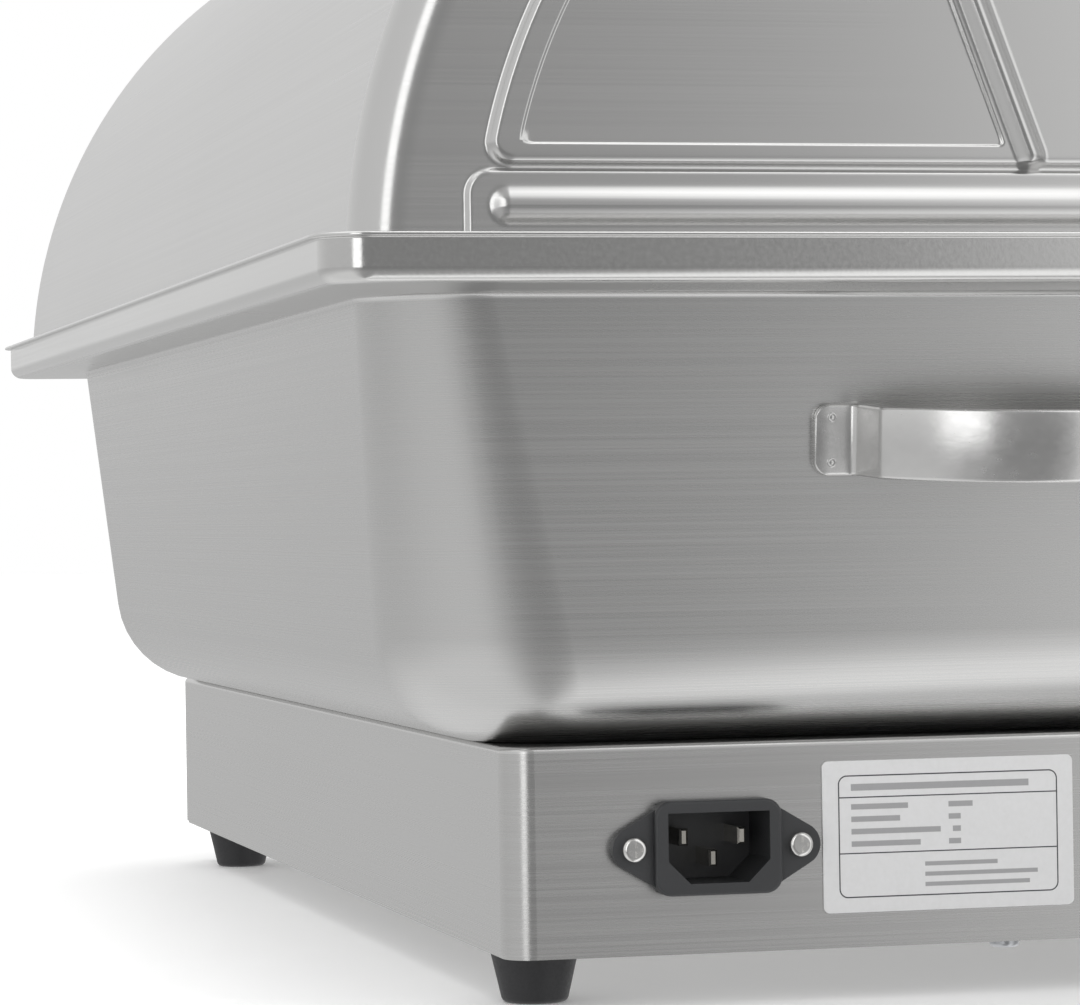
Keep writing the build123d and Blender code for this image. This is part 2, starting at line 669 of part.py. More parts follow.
# ---- food pan, gastronorm 1/1 ----
def food_pan():
    z_flange = Z_LEDGE + 3.0
    z_bottom = z_flange - GN_DEPTH
    mouth = (500.0, 295.0, 34.0)
    floor = (486.0, 281.0, 40.0)
    tub = tapered_tub(mouth, floor, z_bottom, z_flange, 14.0)
    rim = block(GN_L, GN_W, 3.0, z=Z_LEDGE, radius=14)
    rim = fillet(rim.faces().sort_by(Axis.Z)[-1].edges(), 1.4)
    rim -= block(GN_L - 2 * FOOD_SHEET, GN_W - 2 * FOOD_SHEET, 3.0, z=Z_LEDGE - FOOD_SHEET,
                 radius=13.2)
    trim = [size - 2 * FOOD_SHEET for size in mouth[:2]]
    sole = [size - 2 * FOOD_SHEET for size in floor[:2]]
    hollow = tapered_tub((*trim, mouth[2] - FOOD_SHEET), (*sole, floor[2] - FOOD_SHEET),
                         z_bottom + FOOD_SHEET, z_flange + FOOD_SHEET, 14.0 - FOOD_SHEET)
    return tub + rim - hollow


# ---- lid ----
def barrel_profile(inset):
    """End outline: two side arcs and a flatter crown arc, cut at the ledge."""
    offset = CROWN_OFFSET
    angle = CROWN_ANGLE
    side_r = LID_SIDE_R - inset
    crown_r = LID_SIDE_R + offset / cos(angle) - inset
    crown_z = -offset * tan(angle)
    foot = offset + side_r
    turn = (offset + side_r * cos(angle), side_r * sin(angle))
    mid = (offset + side_r * cos(angle / 2), side_r * sin(angle / 2))
    right = ThreePointArc((foot, 0), mid, turn)
    crown = ThreePointArc(turn, (0, crown_z + crown_r), (-turn[0], turn[1]))
    left = ThreePointArc((-turn[0], turn[1]), (-mid[0], mid[1]), (-foot, 0))
    return make_face(right + crown + left + Line((-foot, 0), (foot, 0)))


def along_x(face, half_length):
    """Extrude a profile drawn in Y and Z evenly along the lid."""
    return Pos(0, 0, Z_LEDGE) * (Plane.YZ * extrude(face, half_length, both=True))


def lid_body(sheet):
    """Barrel with rounded end edges, raised fan panels and end beads."""
    half_l = LID_L / 2 - sheet
    barrel = along_x(barrel_profile(sheet), half_l)
    rims = barrel.edges().filter_by(lambda e: abs(abs(e.center().X) - half_l) < 0.01
                                    and e.center().Z > Z_LEDGE + 1)
    barrel = fillet(rims, LID_EDGE_R - sheet)
    above = Pos(0, PANEL_FOOT + 100) * Rectangle(400, 200)
    fan = barrel_profile(FAN_OFFSET + sheet) & above
    strip = Pos(0, STRIP[2]) * RectangleRounded(STRIP[0] - 2 * sheet, STRIP[1] - 2 * sheet, 6)
    panels = along_x(fan + strip, half_l + FAN_RISE)
    bead_profile = SlotOverall(BEAD[0] - 2 * sheet, BEAD[1] - 2 * sheet)
    bead = along_x(Pos(0, BEAD[2]) * bead_profile, half_l + BEAD_RISE)
    return barrel + panels + bead


def lid_shell():
    lid = lid_body(0.0) - lid_body(LID_SHEET)
    lid -= block(LID_L - 2 * LID_SHEET, 2 * LID_HALF_W - 2 * LID_SHEET, 2, z=Z_LEDGE - 1)
    return lid


def on_crown(shape):
    """Put a strap's local frame on top of the lid, its length along X."""
    return Pos(0, 0, Z_CROWN - CROWN_SAG) * Rot(0, 0, -90) * shape


def lid_handle():
    """The same strap along the crown, its tabs seated on the barrel's curve."""
    return on_crown(strap_handle()) - along_x(barrel_profile(0.0), 100)


# ---- write every piece ----
save("base_housing", base_housing())
save("bottom_plate", bottom_plate())
save("bottom_plate_screws", group(bottom_plate_screw(x, y) for x, y in PLATE_SCREWS))
save("rubber_feet", group(rubber_foot(x, y) for x, y in FEET))
save("foot_screws", group(foot_screw(x, y) for x, y in FEET))
save("foot_nuts", group(foot_nut(x, y) for x, y in FEET))
save("power_inlet", power_inlet())
save("inlet_blades", inlet_blades())
save("inlet_screws", group(inlet_screw(s) for s in (-1, 1)))
save("inlet_nuts", group(inlet_nut(s) for s in (-1, 1)))
save("rating_plate", rating_plate())
save("water_pan", water_pan())
for end, side in (("left", -1), ("right", 1)):
    save(f"side_handle_{end}", side_handle(side))
save("pan_studs", group(pan_stud(x, y) for x, y in PAN_STUDS + CLAMP_STUDS))
save("spreader_plate", spreader_plate())
save("heating_element", heating_element())
save("element_terminals", group(element_terminal(y) for y in (-60, 60)))
save("element_clamp_bars", group(clamp_bar(x) for x in (-110, 110)))
STUD_SEATS = [(x, y, Z_DECK - SHEET) for x, y in PAN_STUDS]
STUD_SEATS += [(x, y, Z_BAR - BAR_T) for x, y in CLAMP_STUDS]
save("stud_washers", group(stud_washer(*seat) for seat in STUD_SEATS))
save("stud_nuts", group(stud_nut(*seat) for seat in STUD_SEATS))
save("thermal_cutout", thermal_cutout())
save("heat_shield", heat_shield())
save("shield_screws", group(shield_screw(x, y) for x, y in SHIELD_FEET))
save("insulation_pad", insulation_pad())
save("sensor_bulb", sensor_bulb())
save("bulb_clip", bulb_clip())
save("capillary_tube", capillary_tube())
save("thermostat_body", thermostat_body())
save("thermostat_screws", group(thermostat_screw(dx) for dx in THERMOSTAT_SCREWS))
save("dial_bezel", dial_bezel())
save("control_knob", control_knob())
save("knob_pointer", knob_pointer())
save("thermostat_shaft", thermostat_shaft())
save("pilot_lamp_lens", pilot_lamp_lens())
save("pilot_lamp_body", pilot_lamp_body())
save("pilot_lamp_clip", pilot_lamp_clip())
save("terminal_block", terminal_block())
save("terminal_screws", terminal_screws())
save("terminal_block_screw", terminal_block_screw())
save("earth_stud", earth_stud())
save("earth_nut", earth_nut())
save("supply_wires", supply_wires())
save("earth_wire", earth_wire())
save("thermostat_wires", thermostat_wires())
save("lamp_wires", lamp_wires())
save("element_wires", element_wires())
save("food_pan", food_pan())
save("lid_shell", lid_shell())
save("lid_handle", lid_handle())
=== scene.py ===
import bpy
import math
from mathutils import Matrix, Vector


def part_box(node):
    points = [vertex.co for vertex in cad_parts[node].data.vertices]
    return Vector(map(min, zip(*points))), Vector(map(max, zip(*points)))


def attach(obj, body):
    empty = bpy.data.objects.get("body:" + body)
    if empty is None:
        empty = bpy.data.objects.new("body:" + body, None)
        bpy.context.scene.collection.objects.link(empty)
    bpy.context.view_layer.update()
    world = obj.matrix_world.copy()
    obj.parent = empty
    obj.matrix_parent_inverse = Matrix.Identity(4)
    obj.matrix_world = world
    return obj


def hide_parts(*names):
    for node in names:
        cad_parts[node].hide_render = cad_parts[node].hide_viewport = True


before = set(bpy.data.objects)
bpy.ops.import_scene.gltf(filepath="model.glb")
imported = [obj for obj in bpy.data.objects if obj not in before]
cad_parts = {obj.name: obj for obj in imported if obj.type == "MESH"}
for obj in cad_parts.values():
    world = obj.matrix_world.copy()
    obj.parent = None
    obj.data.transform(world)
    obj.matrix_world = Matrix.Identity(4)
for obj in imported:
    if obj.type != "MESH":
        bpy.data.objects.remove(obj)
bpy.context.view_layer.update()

MM = 0.001

# ---- places read from the frame ----
pan_lo, pan_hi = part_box("water_pan")
lid_lo, lid_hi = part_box("lid_shell")
food_lo, food_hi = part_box("food_pan")

RIM_HALF_L = pan_hi.x
RIM_HALF_W = pan_hi.y
Z_DECK = pan_lo.z
Z_RIM = pan_hi.z
Z_LEDGE = lid_lo.z
LID_HALF_W = lid_hi.y
SHEET = 1.0 * MM


# ---------------------------------------------------------------- mesh helpers
def add_mesh(name, points, faces, sharp=35.0):
    """Mesh object from points and faces, smooth except where it bends sharply."""
    mesh = bpy.data.meshes.new(name)
    mesh.from_pydata([tuple(p) for p in points], [], faces)
    mesh.validate()
    for face in mesh.polygons:
        face.use_smooth = True
    mesh.set_sharp_from_angle(angle=math.radians(sharp))
    obj = bpy.data.objects.new(name, mesh)
    bpy.context.scene.collection.objects.link(obj)
    return obj


def arc_steps(start, end, steps):
    return [start + (end - start) * i / steps for i in range(steps + 1)]


def lerp(a, b, t):
    return a + (b - a) * max(0.0, min(1.0, t))


def filleted(points, radii, steps=8):
    """Open 2-D polyline with its inner corners rounded to the given radii."""
    path = [Vector(points[0])]
    for i in range(1, len(points) - 1):
        corner = Vector(points[i])
        back = (Vector(points[i - 1]) - corner).normalized()
        ahead = (Vector(points[i + 1]) - corner).normalized()
        radius = radii[i - 1]
        half = math.acos(max(-1.0, min(1.0, back.dot(ahead)))) / 2
        reach = radius / math.tan(half)
        centre = corner + (back + ahead).normalized() * (radius / math.sin(half))
        a = corner + back * reach - centre
        b = corner + ahead * reach - centre
        sweep = a.angle_signed(b)
        for t in arc_steps(0.0, 1.0, steps):
            path.append(centre + Matrix.Rotation(-sweep * t, 2) @ a)
    path.append(Vector(points[-1]))
    return path


def rounded_ring(half_l, half_w, radius, z, corner=14):
    """Horizontal rounded rectangle, counter-clockwise from the +X+Y corner."""
    ring = []
    for quarter in range(4):
        sx = 1 if quarter in (0, 3) else -1
        sy = 1 if quarter in (0, 1) else -1
        centre = Vector((sx * (half_l - radius), sy * (half_w - radius)))
        for angle in arc_steps(quarter * math.pi / 2, (quarter + 1) * math.pi / 2, corner):
            ring.append((centre.x + radius * math.cos(angle),
                         centre.y + radius * math.sin(angle), z))
    return ring


def skin_rings(name, rings):
    """Closed rings joined in order by quads, with flat caps at either end."""
    count = len(rings[0])
    points = [p for ring in rings for p in ring]
    faces = []
    for row in range(len(rings) - 1):
        low = row * count
        for i in range(count):
            j = (i + 1) % count
            faces.append((low + i, low + j, low + count + j, low + count + i))
    faces.append(tuple(range(count - 1, -1, -1)))
    top = (len(rings) - 1) * count
    faces.append(tuple(top + i for i in range(count)))
    return add_mesh(name, points, faces)


def finish_piece(obj, body, nodes, slot, *materials):
    """Hand a new piece to its body in place of the CAD nodes it stands for."""
    for material in materials:
        obj.data.materials.append(material)
    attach(obj, body)
    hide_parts(*nodes)


# ------------------------------------------------------------------- materials
def start_material(name):
    material = bpy.data.materials.new(name)
    material.use_nodes = True
    tree = material.node_tree
    shader = tree.nodes["Principled BSDF"]
    return material, tree, shader


def link(tree, source, target):
    tree.links.new(source, target)


def object_coords(tree, scale):
    """Object coordinates stretched by a scale in each direction."""
    coords = tree.nodes.new("ShaderNodeTexCoord")
    mapping = tree.nodes.new("ShaderNodeMapping")
    mapping.inputs["Scale"].default_value = scale
    link(tree, coords.outputs["Object"], mapping.inputs["Vector"])
    return mapping.outputs["Vector"]


def noise(tree, vector, scale, detail=2.0, roughness=0.5):
    node = tree.nodes.new("ShaderNodeTexNoise")
    node.inputs["Scale"].default_value = scale
    node.inputs["Detail"].default_value = detail
    node.inputs["Roughness"].default_value = roughness
    link(tree, vector, node.inputs["Vector"])
    return node.outputs["Fac"]


def spread(tree, value, low, high, from_low=0.3, from_high=0.7):
    node = tree.nodes.new("ShaderNodeMapRange")
    node.inputs["From Min"].default_value = from_low
    node.inputs["From Max"].default_value = from_high
    node.inputs["To Min"].default_value = low
    node.inputs["To Max"].default_value = high
    link(tree, value, node.inputs["Value"])
    return node.outputs["Result"]


def tint(tree, factor, dark, light):
    """Colour between two greys or colours, by a factor."""
    node = tree.nodes.new("ShaderNodeMix")
    node.data_type = "RGBA"
    node.inputs[6].default_value = (*dark, 1.0)
    node.inputs[7].default_value = (*light, 1.0)
    link(tree, factor, node.inputs[0])
    return node.outputs[2]


def math_node(tree, kind, *values):
    """Math node on numbers and on other nodes' outputs."""
    node = tree.nodes.new("ShaderNodeMath")
    node.operation = kind
    for socket, value in zip(node.inputs, values):
        if isinstance(value, float):
            socket.default_value = value
        else:
            link(tree, value, socket)
    return node.outputs[0]


def bump(tree, shader, height, strength, distance):
    node = tree.nodes.new("ShaderNodeBump")
    node.inputs["Strength"].default_value = strength
    node.inputs["Distance"].default_value = distance
    link(tree, height, node.inputs["Height"])
    link(tree, node.outputs["Normal"], shader.inputs["Normal"])


def brushed(name, grain, colour, rough, depth=0.02, mottled=0.012, streak=0.02):
    """Brushed stainless: long fine scratches across `grain`, faint roll marks and smudges."""
    material, tree, shader = start_material(name)
    fine = noise(tree, object_coords(tree, grain), 1.0, 3.0, 0.6)
    broad = noise(tree, object_coords(tree, (6.0, 6.0, 9.0)), 1.0, 3.0)
    shader.inputs["Metallic"].default_value = 1.0
    dark = tuple(c * (1 - streak) for c in colour)
    light = tuple(min(1.0, c * (1 + streak)) for c in colour)
    link(tree, tint(tree, fine, dark, light), shader.inputs["Base Color"])
    gloss = math_node(tree, "ADD", spread(tree, fine, rough - 0.03, rough + 0.04),
                      spread(tree, broad, -mottled, mottled))
    link(tree, gloss, shader.inputs["Roughness"])
    bump(tree, shader, fine, depth, 0.0004)
    return material


def plain(name, colour, rough, metallic=0.0, speckle=900.0, depth=0.05, vary=0.08, **sockets):
    """Moulded, cast or plated surface: fine grain, slight colour and gloss variation."""
    material, tree, shader = start_material(name)
    grain = noise(tree, object_coords(tree, (1.0, 1.0, 1.0)), speckle, 2.0)
    cloud = noise(tree, object_coords(tree, (1.0, 1.0, 1.0)), 60.0, 3.0)
    dark = tuple(c * (1 - vary) for c in colour)
    light = tuple(min(1.0, c * (1 + vary)) for c in colour)
    link(tree, tint(tree, cloud, dark, light), shader.inputs["Base Color"])
    link(tree, spread(tree, grain, rough * 0.88, min(1.0, rough * 1.12)),
         shader.inputs["Roughness"])
    shader.inputs["Metallic"].default_value = metallic
    for socket, value in sockets.items():
        shader.inputs[socket.replace("_", " ")].default_value = value
    bump(tree, shader, grain, depth, 0.0003)
    return material


ALONG_WALLS = (3.0, 3.0, 2600.0)        # scratches run level round upright walls
ALONG_X = (3.0, 1800.0, 1800.0)         # scratches run along the barrel
LEVEL_ON_TOP = (3.0, 900.0, 900.0)

GREY = (0.63, 0.628, 0.622)
steel_walls = brushed("brushed_steel_walls", ALONG_WALLS, GREY, 0.27, 0.008, 0.012, 0.01)
steel_barrel = brushed("brushed_steel_barrel", ALONG_X, (0.65, 0.648, 0.642), 0.31,
                       0.008, 0.012, 0.01)
steel_end = brushed("pressed_steel_end", ALONG_WALLS, GREY, 0.21, 0.006, 0.012, 0.01)
steel_rim = brushed("polished_steel_rim", LEVEL_ON_TOP, (0.66, 0.658, 0.65), 0.16, 0.02)
steel_handle = brushed("tumbled_steel_handle", (300.0, 300.0, 500.0), (0.72, 0.717, 0.71),
                       0.24, 0.05)
steel_base = brushed("brushed_steel_base", ALONG_WALLS, (0.63, 0.627, 0.62), 0.25, 0.015,
                     0.015, 0.03)
steel_food = brushed("drawn_steel_food_pan", LEVEL_ON_TOP, (0.70, 0.698, 0.69), 0.20, 0.03)
zinc = plain("zinc_plate", (0.55, 0.56, 0.58), 0.32, 1.0)
bright_screw = plain("bright_screw", (0.78, 0.775, 0.76), 0.18, 1.0, 400.0)
rubber = plain("black_rubber", (0.022, 0.022, 0.024), 0.55, 0.0, 1400.0, 0.12, 0.2)
inlet_plastic = plain("inlet_plastic", (0.030, 0.031, 0.033), 0.42, 0.0, 2200.0, 0.08, 0.1)
pin_metal = plain("plated_pins", (0.75, 0.72, 0.66), 0.15, 1.0, 300.0)
aluminium = brushed("mill_aluminium", ALONG_X, (0.78, 0.785, 0.79), 0.35)
sheath = plain("element_sheath", (0.16, 0.15, 0.14), 0.45, 1.0, 700.0, 0.1, 0.2)
wool = plain("mineral_wool", (0.62, 0.56, 0.42), 0.95, 0.0, 500.0, 0.8, 0.25)
phenolic = plain("black_phenolic", (0.016, 0.016, 0.017), 0.30, 0.0, 1600.0, 0.04, 0.15)
white_inlay = plain("white_inlay", (0.80, 0.80, 0.78), 0.35)
ceramic = plain("white_ceramic", (0.78, 0.76, 0.70), 0.22, 0.0, 300.0, 0.03, 0.04)
wire_blue = plain("wire_blue", (0.05, 0.12, 0.38), 0.5)
wire_earth = plain("wire_green_yellow", (0.25, 0.45, 0.06), 0.5)
wire_brown = plain("wire_brown", (0.16, 0.07, 0.03), 0.5)
copper = plain("copper_capillary", (0.80, 0.42, 0.27), 0.28, 1.0)
amber = plain("amber_lens", (0.75, 0.25, 0.03), 0.12, 0.0, 300.0, 0.0, 0.05,
              Transmission_Weight=0.35)

CARRIED_OVER = {
    steel_base: ["base_housing", "bottom_plate"],
    zinc: ["bottom_plate_screws", "foot_screws", "foot_nuts", "inlet_nuts", "pan_studs",
           "element_clamp_bars", "stud_washers", "stud_nuts", "shield_screws", "bulb_clip",
           "thermostat_screws", "thermostat_shaft", "pilot_lamp_clip",
           "terminal_block_screw", "earth_stud", "earth_nut"],
    bright_screw: ["inlet_screws"],
    rubber: ["rubber_feet"],
    inlet_plastic: ["power_inlet", "pilot_lamp_body"],
    pin_metal: ["inlet_blades", "terminal_screws"],
    aluminium: ["spreader_plate", "heat_shield"],
    sheath: ["heating_element"],
    wool: ["insulation_pad"],
    phenolic: ["thermostat_body", "dial_bezel", "control_knob"],
    white_inlay: ["knob_pointer"],
    ceramic: ["element_terminals", "thermal_cutout", "terminal_block"],
    wire_blue: ["lamp_wires", "element_wires"],
    wire_earth: ["earth_wire"],
    wire_brown: ["supply_wires", "thermostat_wires"],
    copper: ["sensor_bulb", "capillary_tube"],
    amber: ["pilot_lamp_lens"],
}
for material, nodes in CARRIED_OVER.items():
    for node in nodes:
        cad = bpy.data.objects[node]
        cad.data.materials.clear()
        cad.data.materials.append(material)


# ----------------------------------------------------------------- label plate
def label_material():
    """Silver foil plate: a dark rounded frame line, a divider and plain grey bars."""
    material, tree, shader = start_material("silver_label")
    lo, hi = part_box("rating_plate")
    centre_y, centre_z = (lo.y + hi.y) / 2, (lo.z + hi.z) / 2
    coords = tree.nodes.new("ShaderNodeTexCoord")
    split = tree.nodes.new("ShaderNodeSeparateXYZ")
    link(tree, coords.outputs["Object"], split.inputs[0])

    def inside(value, low, high):
        return math_node(tree, "MULTIPLY", math_node(tree, "GREATER_THAN", value, low),
                         math_node(tree, "LESS_THAN", value, high))

    def beyond(value, limit):
        size = math_node(tree, "ABSOLUTE", value)
        return math_node(tree, "MAXIMUM", math_node(tree, "SUBTRACT", size, limit), 0.0)

    across = math_node(tree, "SUBTRACT", split.outputs[1], centre_y)
    up = math_node(tree, "SUBTRACT", split.outputs[2], centre_z)
    half_w, half_h, corner, line_half = 27.0 * MM, 14.2 * MM, 2.0 * MM, 0.16 * MM

    # distance to the frame line, a rounded rectangle
    dx = beyond(across, half_w - corner)
    dz = beyond(up, half_h - corner)
    reach = math_node(tree, "SQRT", math_node(tree, "ADD", math_node(tree, "MULTIPLY", dx, dx),
                                              math_node(tree, "MULTIPLY", dz, dz)))
    near_edge = math_node(tree, "ABSOLUTE", math_node(tree, "SUBTRACT", reach, corner))
    outside = math_node(tree, "GREATER_THAN", reach, 0.0001 * MM)
    frame_line = math_node(tree, "MULTIPLY", outside,
                           math_node(tree, "LESS_THAN", near_edge, line_half))
    within = math_node(tree, "LESS_THAN", math_node(tree, "ABSOLUTE", across), half_w)
    divider = math_node(tree, "MULTIPLY", within, inside(up, -4.1 * MM, -3.8 * MM))
    heading = math_node(tree, "MULTIPLY", within, inside(up, 9.0 * MM, 9.3 * MM))
    marks = [frame_line, divider, heading]

    # grey bars in place of lettering: (left, right, bottom, top) in millimetres
    bar_strength = 0.55
    bars = [(-20, 24, 10.7, 12.3)]
    for row, (left, right) in enumerate([(10, 24), (12, 24), (2, 24), (7, 24)]):
        top = 7.6 - 2.9 * row
        bars.append((left, right, top - 1.3, top))
        bars.append((-6 if row < 1 else -3, 0 if row != 2 else -1, top - 1.3, top))
    bars += [(-12, 6, -7.4, -6.4), (-22, 6, -9.8, -8.8), (-20, 6, -12.2, -11.2)]
    for left, right, low, high in bars:
        bar = math_node(tree, "MULTIPLY", inside(across, left * MM, right * MM),
                        inside(up, low * MM, high * MM))
        marks.append(math_node(tree, "MULTIPLY", bar, bar_strength))
    total = marks[0]
    for mark in marks[1:]:
        total = math_node(tree, "MAXIMUM", total, mark)
    foil = noise(tree, object_coords(tree, (900.0, 900.0, 900.0)), 1.0, 2.0)
    paper = tint(tree, foil, (0.60, 0.60, 0.60), (0.66, 0.66, 0.665))
    mix = tree.nodes.new("ShaderNodeMix")
    mix.data_type = "RGBA"
    link(tree, total, mix.inputs[0])
    link(tree, paper, mix.inputs[6])
    mix.inputs[7].default_value = (0.06, 0.06, 0.065, 1.0)
    link(tree, mix.outputs[2], shader.inputs["Base Color"])
    shader.inputs["Metallic"].default_value = 0.25
    link(tree, spread(tree, foil, 0.42, 0.52), shader.inputs["Roughness"])
    bump(tree, shader, foil, 0.03, 0.0002)
    return material


label = bpy.data.objects["rating_plate"]
label.data.materials.clear()
label.data.materials.append(label_material())


# ------------------------------------------------------------------- water pan
LIP = 3.0 * MM
WALL_TOP = (258.5 * MM, 156.0 * MM)      # half sizes at the ledge
WALL_FOOT = (249.0 * MM, 146.5 * MM)     # and at the deck, before the bottom rounding
WALL_TOP_R = 27.0 * MM
WALL_FOOT_R = 42.0 * MM
BOTTOM_R = 28.0 * MM
RIM_CORNER_R = 12.5 * MM


def build_water_pan():
    """One pressed sheet: flat bottom, tapered walls, ledge, upstand and out-turned lip."""
    top = RIM_HALF_W - WALL_TOP[1]
    foot = RIM_HALF_W - WALL_FOOT[1]
    wider_ledge = RIM_HALF_L - WALL_TOP[0] - top        # the ledge is wider at the ends
    on_rim = 10.0 * MM
    flat = foot + 1.35 * BOTTOM_R
    outline = [
        (flat, Z_DECK), (foot, Z_DECK), (top, Z_LEDGE - SHEET),
        (LIP - SHEET, Z_LEDGE - SHEET), (LIP - SHEET, Z_RIM - SHEET), (0.0, Z_RIM - SHEET),
        (0.0, Z_RIM), (LIP, Z_RIM), (LIP, Z_LEDGE), (top + SHEET, Z_LEDGE),
        (foot + 0.95 * SHEET, Z_DECK + SHEET), (flat, Z_DECK + SHEET)]
    radii = [BOTTOM_R, 1.6 * MM, 3.6 * MM, 0.4 * MM, 0.35 * MM, 0.6 * MM, 1.4 * MM, 2.4 * MM,
             2.6 * MM, BOTTOM_R - SHEET]
    rings = []
    for inset, z in filleted(outline, radii, 9):
        half_l = RIM_HALF_L - inset
        corner = RIM_CORNER_R - inset
        if inset > on_rim:
            rise = (z - Z_DECK) / (Z_LEDGE - Z_DECK)
            half_l -= wider_ledge
            corner = lerp(WALL_FOOT_R, WALL_TOP_R, rise) - (inset - lerp(foot, top, rise))
        rings.append(rounded_ring(half_l, RIM_HALF_W - inset, corner, z))
    pan = skin_rings("water_pan_pressing", rings)
    finish_piece(pan, "base", ["water_pan"], "drawn_steel", steel_walls, steel_rim)
    for face in pan.data.polygons:
        if face.center.z > Z_LEDGE - 0.6 * MM:
            face.material_index = 1


build_water_pan()


# -------------------------------------------------------------------- food pan
FOOD_SHEET = 0.8 * MM
FOOD_FLANGE = 15.0 * MM                  # from the flange's edge to the tub at the top
FOOD_FOOT = 22.0 * MM                    # and at the bottom
FOOD_FLAT = 60.0 * MM
FOOD_EDGE_R = 14.0 * MM
FOOD_TUB_R = (40.0 * MM, 34.0 * MM)      # upright corners of the tub, bottom and top


def build_food_pan():
    """Gastronorm pan: flat flange with a turned-down edge, tapered tub, rounded bottom."""
    z_top = food_hi.z
    half_l, half_w = food_hi.x, food_hi.y
    outline = [
        (FOOD_FLAT, food_lo.z), (FOOD_FOOT, food_lo.z), (FOOD_FLANGE, z_top - FOOD_SHEET),
        (FOOD_SHEET, z_top - FOOD_SHEET), (FOOD_SHEET, Z_LEDGE), (0.0, Z_LEDGE), (0.0, z_top),
        (FOOD_FLANGE + FOOD_SHEET, z_top), (FOOD_FOOT + FOOD_SHEET, food_lo.z + FOOD_SHEET),
        (FOOD_FLAT, food_lo.z + FOOD_SHEET)]
    radii = [14.0 * MM, 3.0 * MM, 0.6 * MM, 0.2 * MM, 0.2 * MM, 1.4 * MM, 3.8 * MM, 13.2 * MM]
    rings = []
    for inset, z in filleted(outline, radii, 7):
        rise = (z - food_lo.z) / (z_top - food_lo.z)
        wall = lerp(FOOD_FOOT, FOOD_FLANGE, rise)
        if inset >= wall - 0.3 * MM:
            corner = lerp(*FOOD_TUB_R, rise) - (inset - wall) * 0.8
        else:
            corner = lerp(FOOD_EDGE_R, FOOD_TUB_R[1], inset / wall)
        rings.append(rounded_ring(half_l - inset, half_w - inset, corner, z))
    pan = skin_rings("food_pan_pressing", rings)
    finish_piece(pan, "food_pan", ["food_pan"], "drawn_steel", steel_food)


build_food_pan()


# ------------------------------------------------------------------- lid shell
# End outline about the ledge's middle: two side arcs and a flatter crown arc.
SIDE_R = 166.5 * MM
SIDE_OFFSET = LID_HALF_W - SIDE_R
CROWN_ANGLE = math.radians(75.0)
CROWN_R = SIDE_R + SIDE_OFFSET / math.cos(CROWN_ANGLE)
CROWN_DROP = SIDE_OFFSET * math.tan(CROWN_ANGLE)
END_R = 10.0 * MM
END_X = 293.5 * MM
FAN_OFFSET = 25.9 * MM
WINDOW_OFFSET = 33.0 * MM
FAN_BOTTOM = 24.0 * MM
WINDOW_BOTTOM = 29.1 * MM
BEAD_Z = 16.0 * MM
BEAD_HALF = 4.7 * MM
BEAD_END = 138.6 * MM
STRIP_END = 143.6 * MM
STRIP_TOP = 24.2 * MM
RIB_LEAN = math.radians(20.5)
RIB_HALF = 3.8 * MM
RIB_FOOT = 4.3 * MM                     # where the rib's line meets the ledge level
RIB_END_Z = 27.2 * MM
RAY_DROP = RIB_FOOT / math.tan(RIB_LEAN)        # rays start below the ledge by this much
ROW_TOP = 40.0 * MM
INNER_OFFSET = 112.0 * MM
FAN_RISE = 2.0 * MM
STRIP_RISE = 1.0 * MM
BEAD_RISE = 1.7 * MM                    # above the strip
RIB_RISE = 1.9 * MM
WINDOW_SINK = 0.45 * MM
WINDOW_TO_RIB = 4.85 * MM
LID_SHEET = 0.9 * MM


def ray_point(inset, angle):
    """Where a ray at this angle from the ribs' meeting point crosses the inset outline."""
    c, s = math.cos(angle), math.sin(angle)

    def reach(centre_y, centre_z, radius):
        to_y, to_z = -centre_y, -RAY_DROP - centre_z
        along = to_y * c + to_z * s
        return -along + math.sqrt(along ** 2 - to_y ** 2 - to_z ** 2 + radius ** 2)

    far = reach(SIDE_OFFSET, 0.0, SIDE_R - inset)
    y, z = far * c, far * s - RAY_DROP
    if math.atan2(z, y - SIDE_OFFSET) > CROWN_ANGLE:
        far = reach(0.0, -CROWN_DROP, CROWN_R - inset)
        y, z = far * c, far * s - RAY_DROP
    return y, z


def side_point(inset, z):
    """Half width of the outline offset inwards, at a height below the crown arc."""
    return SIDE_OFFSET + math.sqrt(max(0.0, (SIDE_R - inset) ** 2 - z ** 2))


def inset_at(y, z):
    """How far inside the lid's outline a point of the end panel lies."""
    if abs(y) < SIDE_OFFSET or math.atan2(z, abs(y) - SIDE_OFFSET) > CROWN_ANGLE:
        return CROWN_R - math.hypot(y, z + CROWN_DROP)
    return SIDE_R - math.hypot(abs(y) - SIDE_OFFSET, z)


def ramp(value, width):
    """Smooth 0 to 1 as value goes from 0 to width."""
    t = max(0.0, min(1.0, value / width))
    return t * t * (3 - 2 * t)


def rounded_inside(a, b, radius):
    """Depth inside the rounded corner between two edges at depths a and b."""
    if a < radius and b < radius:
        return radius - math.hypot(radius - a, radius - b)
    return min(a, b)


def dome(distance, half, height):
    """Soft pressed bead: a round crest that runs out smoothly on both sides."""
    t = min(abs(distance) / half, 1.0)
    return height * (0.5 + 0.5 * math.cos(math.pi * t)) ** 0.8


def beside_rib(y, z):
    """Signed distance from the rib's centre line, outwards, on either side."""
    return (abs(y) - RIB_FOOT) * math.cos(RIB_LEAN) - z * math.sin(RIB_LEAN)


